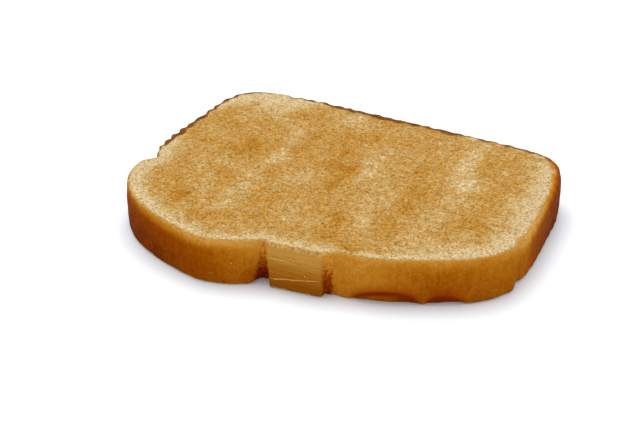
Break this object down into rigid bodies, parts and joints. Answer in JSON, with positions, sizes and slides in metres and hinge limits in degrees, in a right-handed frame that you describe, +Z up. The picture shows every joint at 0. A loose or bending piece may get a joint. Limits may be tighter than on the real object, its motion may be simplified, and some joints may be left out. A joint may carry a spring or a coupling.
{
  "type": "white toast slice",
  "caption": "Single slice of white toast lying flat, cut across a tin loaf whose top has split into unequal domed lobes with a torn band between them.",
  "frame": {"origin": "middle of the slice's bounding box, on the surface it lies on", "axes": "+Z up through the slice's thickness; +X along the loaf's width, the longest side; +Y towards the loaf's flat base; the domed and split top of the loaf is at -Y"},
  "size_m": [0.12, 0.0884, 0.0152],
  "materials": {
    "toasted_bread": "dry and matt: golden-brown toasted crumb on both faces with a paler rim, browner baked crust round the edge"
  },
  "bodies": {
    "root": {"toast_slice": "toasted_bread"}
  },
  "joints": []
}
